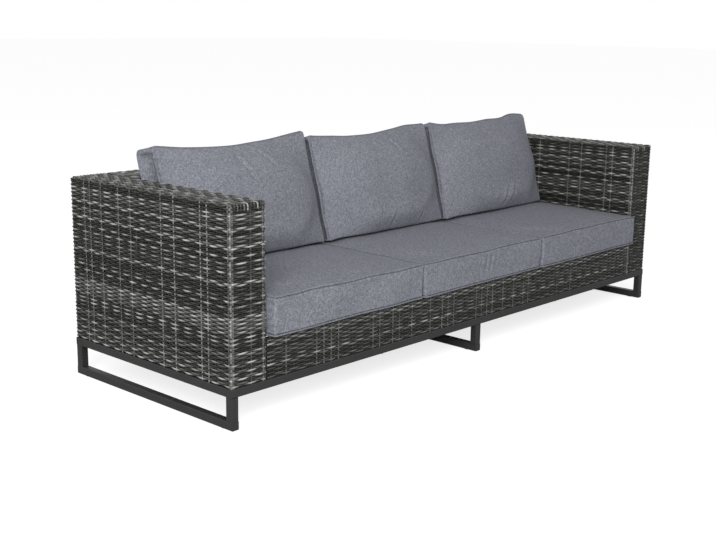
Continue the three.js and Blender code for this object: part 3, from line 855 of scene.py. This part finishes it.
def press_seams(obj, loops, depth, painted_shade, reach, side_share=1.0):
    """Draws the cloth in along its seams and marks them, so that the material paints shade along the seams'
    crevices.

    side_share is how much of that painted shade the seams keep where they don't face the front.
    """
    places, normals = mesh_places(obj.data), vectors(obj.data.vertex_normals, "vector")
    tree = KDTree(sum(len(loop) * SEAM_SAMPLES for loop in loops))
    number = 0
    for loop in loops:
        line = places[loop]
        for i in range(SEAM_SAMPLES):
            for point in line + (np.roll(line, -1, axis=0) - line) * i / SEAM_SAMPLES:
                tree.insert(point, number)
                number += 1
    tree.balance()
    away = np.array([tree.find(p)[2] for p in places])
    near = np.exp(-(away / reach) ** 2)
    ridge = SEAM_RIDGE * np.exp(-((away - SEAM_RIDGE_PLACE * reach) / (SEAM_RIDGE_WIDTH * reach)) ** 2)
    set_places(obj.data, places - normals * (depth * (near - ridge))[:, None])
    mark_seam_shade(obj.data, near * painted_shade * np.where(normals[:, 1] < FRONT_NORMAL, 1.0, side_share))


def piping(name, line, radius, world):
    """A closed cord along a seam line, with painted shade on its upper side."""
    count, around = len(line), PIPING_SIDES
    tangent = unit(np.roll(line, -1, axis=0) - np.roll(line, 1, axis=0))
    out = unit(np.cross(tangent, np.array([0.0, 0.0, 1.0])))
    up = np.broadcast_to((0.0, 0.0, 1.0), out.shape)
    line = line + out * PIPING_STAND + up * radius
    turns = np.arange(around) * 2 * math.pi / around
    ring = out[:, None] * np.cos(turns)[None, :, None] + up[:, None] * np.sin(turns)[None, :, None]
    places = (line[:, None] + ring * radius).reshape(-1, 3)
    faces = []
    for i in range(count):
        after = (i + 1) % count
        for j in range(around):
            beside = (j + 1) % around
            faces.append((i * around + j, i * around + beside, after * around + beside, after * around + j))
    cord = quad_object(name, places, faces, world)
    # Painted shade: the cord's upper side, next to the seam, is marked dark
    mark_seam_shade(cord.data, np.tile(np.clip(np.sin(turns), 0, 1) ** 3, count))
    return cord


def seat_cushion_shape(place):
    """The form of a seat cushion before its cloth is run."""
    low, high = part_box(f"{place}_seat_cushion_cover")
    half = SEAT_HALF
    grid = [panel_lines(half[i], SEAT_STEP) for i in (0, 1)] + [panel_lines(half[2], SEAT_SIDE_STEP)]
    places, faces, loops = shell_grid(*grid)
    shaped = round_plan(places, half, SEAT_CORNER, SEAT_CORNER)
    shaped = pillow(round_edges(shaped, half, SEAT_EDGE_ROUND), half, (SEAT_CROWN, 0.0), SEAT_BULGE)
    shaped = roughen(shaped, PLACES.index(place), ROUGHEN)
    centre = Vector(((low[0] + high[0]) / 2 + SEAT_ASIDE, high[1] - half[1] + SEAT_SHIFT,
                     low[2] + half[2] + SEAT_LIFT))
    obj = quad_object(f"{place}_seat_cushion_fabric", shaped, faces, Matrix.Translation(centre))
    return obj, places, loops


def top_edge(u, heights):
    """Height of a back cushion's top seam at u, which runs from -1 to 1, through evenly spaced heights."""
    stations = np.linspace(-1, 1, len(heights))
    fine = np.linspace(-1, 1, TOP_SAMPLES)
    level = np.interp(fine, stations, heights)
    kernel = np.hanning(TOP_WINDOW) / np.hanning(TOP_WINDOW).sum()
    level = np.convolve(np.pad(level, TOP_WINDOW // 2, mode="edge"), kernel, mode="valid")
    return np.interp(u, fine, level)


def back_cushion_shape(place, span, heights):
    """The form of a back cushion before its cloth is run; it leans on the back."""
    half = ((span[1] - span[0]) / 2, BACK_HALF_HEIGHT, BACK_HALF_DEPTH)
    grid = [panel_lines(half[i], BACK_STEP) for i in (0, 1)] + [panel_lines(half[2], BACK_SIDE_STEP)]
    places, faces, loops = shell_grid(*grid)
    shaped = round_plan(places, half, BACK_FOOT_CORNER, BACK_TOP_CORNER)
    shaped = pillow(round_edges(shaped, half, BACK_EDGE_ROUND), half, (BACK_CROWN, BACK_REAR_CROWN),
                    BACK_BULGE, BACK_LOWER_FULLNESS, BACK_ROUNDNESS, BACK_FOOT_SHARE)
    shaped = roughen(shaped, BACK_SEED + PLACES.index(place), ROUGHEN)
    u, v = places[:, 0] / half[0], places[:, 1] / half[1]
    shaped[:, 0] -= np.sign(u) * np.where(u < 0, *BACK_TAPERS[place]) * v * np.abs(u) ** 3
    lift = (top_edge(u, heights) - half[1]) * np.clip(v, 0, 1) ** 2
    rearward = (1 - places[:, 2] / half[2]) / 2
    shaped[:, 1] += lift - BACK_REAR_DROP * rearward * np.clip(v, 0, 1) ** 2 * (1 - np.abs(u) ** 3)
    sag = BACK_SAG * (1 - BACK_SAG_SIDE_LOSS * u ** 4)
    shaped[:, 2] += sag * (1 - rearward) * np.exp(-((v - BACK_SAG_PLACE) / BACK_SAG_REACH) ** 2)
    flare = np.where(u < 0, *BACK_FLARES[place])
    shaped[:, 0] += np.sign(u) * flare * rearward * np.abs(u) ** 3
    lean = Matrix(((1, 0, 0), (0, math.sin(BACK_LEAN), -math.cos(BACK_LEAN)),
                   (0, math.cos(BACK_LEAN), math.sin(BACK_LEAN))))
    out = lean @ Vector((0, 0, 1))
    centre = Vector(((span[0] + span[1]) / 2, *BACK_CENTRE)) + out * BACK_SEAM_SHIFT
    world = Matrix.Translation(centre) @ lean.to_4x4()
    return quad_object(f"{place}_back_cushion_fabric", shaped, faces, world), loops


def rest_back(obj, seat_top, back_face, seat_edges):
    """Flattens a back cushion where it leans on the back and where it stands on the seat.

    The seat's top falls off toward its side seams, and the back cushion's corners sink into that valley.
    """
    places = mesh_places(obj.data)
    centre = obj.matrix_world.translation
    lean_sin, lean_cos = math.sin(BACK_LEAN), math.cos(BACK_LEAN)
    beside = np.min(np.abs(places[:, :1] + centre.x - np.array(seat_edges)), axis=1)
    level = seat_top - VALLEY_DEPTH * np.exp(-(beside / VALLEY_WIDTH) ** 2)
    lowest = (level - centre.z - places[:, 2] * lean_sin) / lean_cos
    places[:, 1] = soft_floor(places[:, 1], lowest)
    rearmost = (centre.y + places[:, 1] * lean_sin - back_face) / lean_cos
    places[:, 2] = soft_floor(places[:, 2], rearmost)
    set_places(obj.data, places)


def node_adder(tree):
    """A function that adds a node to a tree; each socket takes a plain value or another node's output."""
    def add(kind, sockets=None, **settings):
        node = tree.nodes.new(kind)
        for key, value in settings.items():
            setattr(node, key, value)
        for socket, value in (sockets or {}).items():
            if isinstance(value, bpy.types.NodeSocket):
                tree.links.new(value, node.inputs[socket])
            else:
                node.inputs[socket].default_value = value
        return node

    return add


def new_material(name):
    material = bpy.data.materials.new(name)
    material.use_nodes = True
    material.node_tree.nodes.clear()
    return material, node_adder(material.node_tree)


def combine(add, operation, *values, **settings):
    """The result of a maths node on the given values or outputs."""
    return add("ShaderNodeMath", dict(enumerate(values)), operation=operation, **settings).outputs[0]


def ramp(add, level, stops):
    """The colour for a level, from stops that are each a place and a grey level or a colour."""
    node = add("ShaderNodeValToRGB", {"Fac": level})
    elements = node.color_ramp.elements
    while len(elements) < len(stops):
        elements.new(1.0)
    for element, (place, colour) in zip(elements, stops):
        element.position = place
        level = colour if isinstance(colour, tuple) else (colour, colour, colour)
        element.color = (*level, 1.0)
    return node.outputs["Color"]


def finish_surface(add, colour, height, bump, shader):
    """Joins a colour and a height to a bump and a shader with the given values."""
    normal = add("ShaderNodeBump", {"Height": height, **bump}).outputs["Normal"]
    surface = add("ShaderNodeBsdfPrincipled", {"Base Color": colour, "Normal": normal, **shader})
    add("ShaderNodeOutputMaterial", {"Surface": surface.outputs["BSDF"]})


def wicker_material():
    """Resin strands in tones from near black to light grey, each finely streaked along its length."""
    material, add = new_material("wicker")
    tone = add("ShaderNodeAttribute", attribute_name="tone").outputs["Fac"]
    strand = add("ShaderNodeAttribute", attribute_name="strand").outputs["Vector"]
    stretch = add("ShaderNodeVectorMath", {0: strand, 1: (24.0, 7.0, 1.0)}, operation="MULTIPLY")
    noise = {"Vector": stretch.outputs[0], "Scale": 1.0, "Detail": 3.0}
    streak = add("ShaderNodeTexNoise", noise).outputs["Fac"]
    limits = {"From Min": 0.3, "From Max": 0.7, "To Min": -0.16, "To Max": 0.16}
    spread = add("ShaderNodeMapRange", {"Value": streak, **limits})
    total = combine(add, "ADD", tone, spread.outputs[0], use_clamp=True)
    colour = ramp(add, total, [
        (0.0, (0.010, 0.010, 0.009)), (0.13, (0.031, 0.031, 0.029)), (0.5, (0.13, 0.13, 0.123)),
        (0.85, (0.38, 0.38, 0.363)), (1.0, (0.5, 0.5, 0.478))])
    finish_surface(add, colour, streak, {"Strength": 0.25, "Distance": 0.0004},
                   {"Roughness": 0.4, "Specular IOR Level": 0.3})
    return material


def grained_material(name, dark, light, roughness, metallic=0.0, scale=900.0, strength=0.15):
    """A finish with a fine grain over a broad cloud, between two grey levels."""
    material, add = new_material(name)
    place = add("ShaderNodeTexCoord").outputs["Object"]
    grain = add("ShaderNodeTexNoise", {"Vector": place, "Scale": scale, "Detail": 2.0}).outputs["Fac"]
    cloud = add("ShaderNodeTexNoise", {"Vector": place, "Scale": scale / GRAIN_PER_CLOUD}).outputs["Fac"]
    mixed = add("ShaderNodeMix", {"Factor": 0.45, "A": grain, "B": cloud}, data_type="FLOAT")
    colour = ramp(add, mixed.outputs["Result"], [(0.3, dark), (0.7, light)])
    finish_surface(add, colour, grain, {"Strength": strength, "Distance": 0.0003},
                   {"Roughness": roughness, "Metallic": metallic})
    return material


def fabric_material():
    """Heathered outdoor weave: long thin noise both ways for the yarns, over a soft cloud, with painted
    shade along the seams.
    """
    material, add = new_material("cushion_fabric")
    place = add("ShaderNodeTexCoord").outputs["Object"]

    def noise(*stretch):
        grid = add("ShaderNodeVectorMath", {0: place, 1: stretch}, operation="MULTIPLY").outputs[0]
        values = {"Vector": grid, "Scale": 1.0, "Detail": 3.0, "Roughness": 0.6}
        return add("ShaderNodeTexNoise", values).outputs["Fac"]

    weft = noise(YARN_ALONG, YARN_ACROSS, YARN_ACROSS)
    warp = noise(YARN_ACROSS, YARN_ALONG, YARN_ALONG)
    yarns = combine(add, "ADD", weft, warp)
    level = combine(add, "MULTIPLY_ADD", yarns, YARN_GAIN, YARN_BASE)
    clouded = combine(add, "MULTIPLY_ADD", noise(*CLOTH_CLOUD), CLOUD_GAIN, level)
    colour = ramp(add, clouded, [
        (0.38, (0.112, 0.118, 0.142)), (0.5, (0.215, 0.222, 0.256)), (0.62, (0.35, 0.355, 0.39))])
    # Painted shade: the colour is multiplied toward dark grey along the seams
    seam = add("ShaderNodeAttribute", attribute_name="seam").outputs["Fac"]
    seam_shaded = add("ShaderNodeMix", data_type="RGBA", blend_type="MULTIPLY",
                 sockets={0: seam, 6: colour, 7: (0.3, 0.3, 0.32, 1.0)})
    cloth = {"Roughness": 0.95, "Sheen Weight": 0.04, "Sheen Roughness": 0.5, "Specular IOR Level": 0.08}
    finish_surface(add, seam_shaded.outputs[2], yarns, {"Strength": 0.35, "Distance": 0.0006}, cloth)
    return material


def dress(obj, material, body, slot, *nodes):
    """Gives a piece its material, its body, and the CAD nodes that it replaces. slot is not used."""
    obj.data.materials.clear()
    obj.data.materials.append(material)
    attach(obj, body)
    if nodes:
        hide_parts(*nodes)


def paint_nodes(material, names):
    for name in names:
        node = frame["nodes"][name]
        node.data.materials.clear()
        node.data.materials.append(material)


def make_camera():
    camera = bpy.data.cameras.new("camera")
    camera.sensor_width = SENSOR_WIDTH
    camera.lens = FOCAL_PIXELS / PHOTO_WIDTH * SENSOR_WIDTH
    obj = linked_object("camera", camera)
    forward = Vector((math.sin(CAMERA_YAW) * math.cos(CAMERA_PITCH),
                      math.cos(CAMERA_YAW) * math.cos(CAMERA_PITCH), -math.sin(CAMERA_PITCH)))
    right = Vector((math.cos(CAMERA_YAW), -math.sin(CAMERA_YAW), 0))
    up = right.cross(forward)
    rolled_right = right * math.cos(CAMERA_ROLL) + up * math.sin(CAMERA_ROLL)
    rolled_up = up * math.cos(CAMERA_ROLL) - right * math.sin(CAMERA_ROLL)
    turn = Matrix((rolled_right, rolled_up, -forward)).transposed()
    obj.matrix_world = Matrix.Translation(CAMERA_PLACE) @ turn.to_4x4()
    bpy.context.scene.camera = obj


def make_key_light():
    light = bpy.data.lights.new("key", "AREA")
    light.energy = KEY_POWER
    light.size = KEY_SIZE
    obj = linked_object("key", light)
    obj.location = KEY_PLACE
    obj.rotation_euler = (Vector(KEY_TARGET) - Vector(KEY_PLACE)).to_track_quat("-Z", "Y").to_euler()


def make_world():
    """Plain grey light all round; the camera and reflections see white behind the sofa."""
    world = bpy.data.worlds.new("studio")
    bpy.context.scene.world = world
    world.use_nodes = True
    world.node_tree.nodes.clear()
    add = node_adder(world.node_tree)
    light = add("ShaderNodeBackground", {"Color": WHITE, "Strength": WORLD_LEVEL}).outputs[0]
    seen = add("ShaderNodeBackground", {"Color": WHITE}).outputs[0]
    ray = add("ShaderNodeLightPath").outputs
    either = combine(add, "MAXIMUM", ray["Is Camera Ray"], ray["Is Glossy Ray"])
    any_ray = combine(add, "MAXIMUM", either, ray["Is Transmission Ray"])
    mix = add("ShaderNodeMixShader", {0: any_ray, 1: light, 2: seen})
    add("ShaderNodeOutputWorld", {"Surface": mix.outputs[0]})


def make_floor():
    """A pale floor that reads white to the camera and keeps the sofa's shadow."""
    half = FLOOR_HALF
    corners = [(-half, -half, 0), (half, -half, 0), (half, half, 0), (-half, half, 0)]
    mesh = bpy.data.meshes.new("floor")
    mesh.from_pydata(corners, [], [(0, 1, 2, 3)])
    obj = linked_object("floor", mesh)
    material, add = new_material("floor")
    diffuse = add("ShaderNodeBsdfDiffuse", {"Color": FLOOR_GREY}).outputs[0]
    ray = add("ShaderNodeLightPath").outputs
    level = combine(add, "MULTIPLY", ray["Is Camera Ray"], FLOOR_GLOW)
    glow = add("ShaderNodeEmission", {"Color": WHITE, "Strength": level}).outputs[0]
    both = add("ShaderNodeAddShader", {0: diffuse, 1: glow})
    add("ShaderNodeOutputMaterial", {"Surface": both.outputs[0]})
    mesh.materials.append(material)


def finish_cushion(name, obj, loops, creases, way, seam, material):
    """Adds a filled cushion's folds and seams, and sets it in the place of its CAD cover and core."""
    subdivide(obj)
    places = mesh_places(obj.data)
    for start, end, width, depth in creases:
        crease(places, start, end, width, depth, *way)
    set_places(obj.data, places)
    press_seams(obj, loops, **seam)
    dress(obj, material, name, "cushion_fabric", f"{name}_cover", f"{name}_core")


def finish_seat(place, obj, flat, loops, material):
    """Flattens a filled seat cushion's underside, finishes it and adds its piping."""
    name = f"{place}_seat_cushion"
    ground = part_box(f"{name}_cover")[0][2] + SEAT_GROUND - obj.matrix_world.translation.z
    places = mesh_places(obj.data)
    places[:, 2] = np.where(flat[:, 2] <= -SEAT_HALF[2], ground, soft_floor(places[:, 2], ground))
    set_places(obj.data, places)
    line = loop_line(places, loops[1])
    finish_cushion(name, obj, loops, SEAT_CREASES[place], ((0, 2), 1, -1), SEAT_SEAM, material)
    cord = piping(f"{name}_piping", line, PIPING_RADIUS, obj.matrix_world)
    dress(cord, material, name, "cushion_fabric")


def finish_back(place, obj, loops, material):
    """Rests a filled back cushion on the seat and the back, and finishes it."""
    seat_edges = [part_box(f"{place}_seat_cushion_cover")[end][0] for end in (0, 1)]
    rest_back(obj, SEAT_TOP, BACK_FACE, seat_edges)
    finish_cushion(f"{place}_back_cushion", obj, loops, BACK_CREASES[place], (), BACK_SEAM,
                   material)


make_camera()
make_world()
make_key_light()
make_floor()
bpy.context.scene.view_settings.view_transform = "Standard"

wicker = wicker_material()
for side in ("left", "right"):
    arm = Arm(side)
    for strip in (arm_walls(side, arm), arm_top(side, arm)):
        dress(strip, wicker, "root", "wicker", f"{side}_arm_wicker")
for strip in woven_back():
    dress(strip, wicker, "root", "wicker", "back_wicker")
for strip in woven_seat():
    dress(strip, wicker, "root", "wicker", "seat_wicker")

fabric = fabric_material()
slots = {part["node"]: part["material_slot"] for part in frame["record"]["subparts"]}
finishes = {
    "powder_coat": grained_material("powder_coat", 0.022, 0.036, 0.5, 0.2),
    "frame_aluminium": grained_material("frame_aluminium", 0.5, 0.62, 0.4, 0.9),
    "cushion_fabric": fabric,
    "cushion_fibre": grained_material("cushion_fibre", 0.72, 0.82, 1.0, scale=300.0, strength=0.4),
    "zip": grained_material("zip", 0.06, 0.1, 0.6, scale=1500.0),
    "glide_plastic": grained_material("glide_plastic", 0.01, 0.016, 0.5),
    "bolt_steel": grained_material("bolt_steel", 0.5, 0.62, 0.35, 0.95),
}
for slot, finish in finishes.items():
    paint_nodes(finish, [node for node, of_slot in slots.items() if of_slot == slot])

seats, backs = {}, {}
for place in PLACES:
    seats[place] = seat_cushion_shape(place)
    backs[place] = back_cushion_shape(place, BACK_SPANS[place], BACK_TOPS[place])
to_fill = [(obj, sum(loops, []), SEAT_CAP, 0) for obj, flat, loops in seats.values()]
to_fill += [(obj, sum(loops, []), BACK_CAP, BACK_EVENING) for obj, loops in backs.values()]
fill_cushions(to_fill)
for place in PLACES:
    finish_seat(place, *seats[place], fabric)
    finish_back(place, *backs[place], fabric)

bpy.context.view_layer.update()
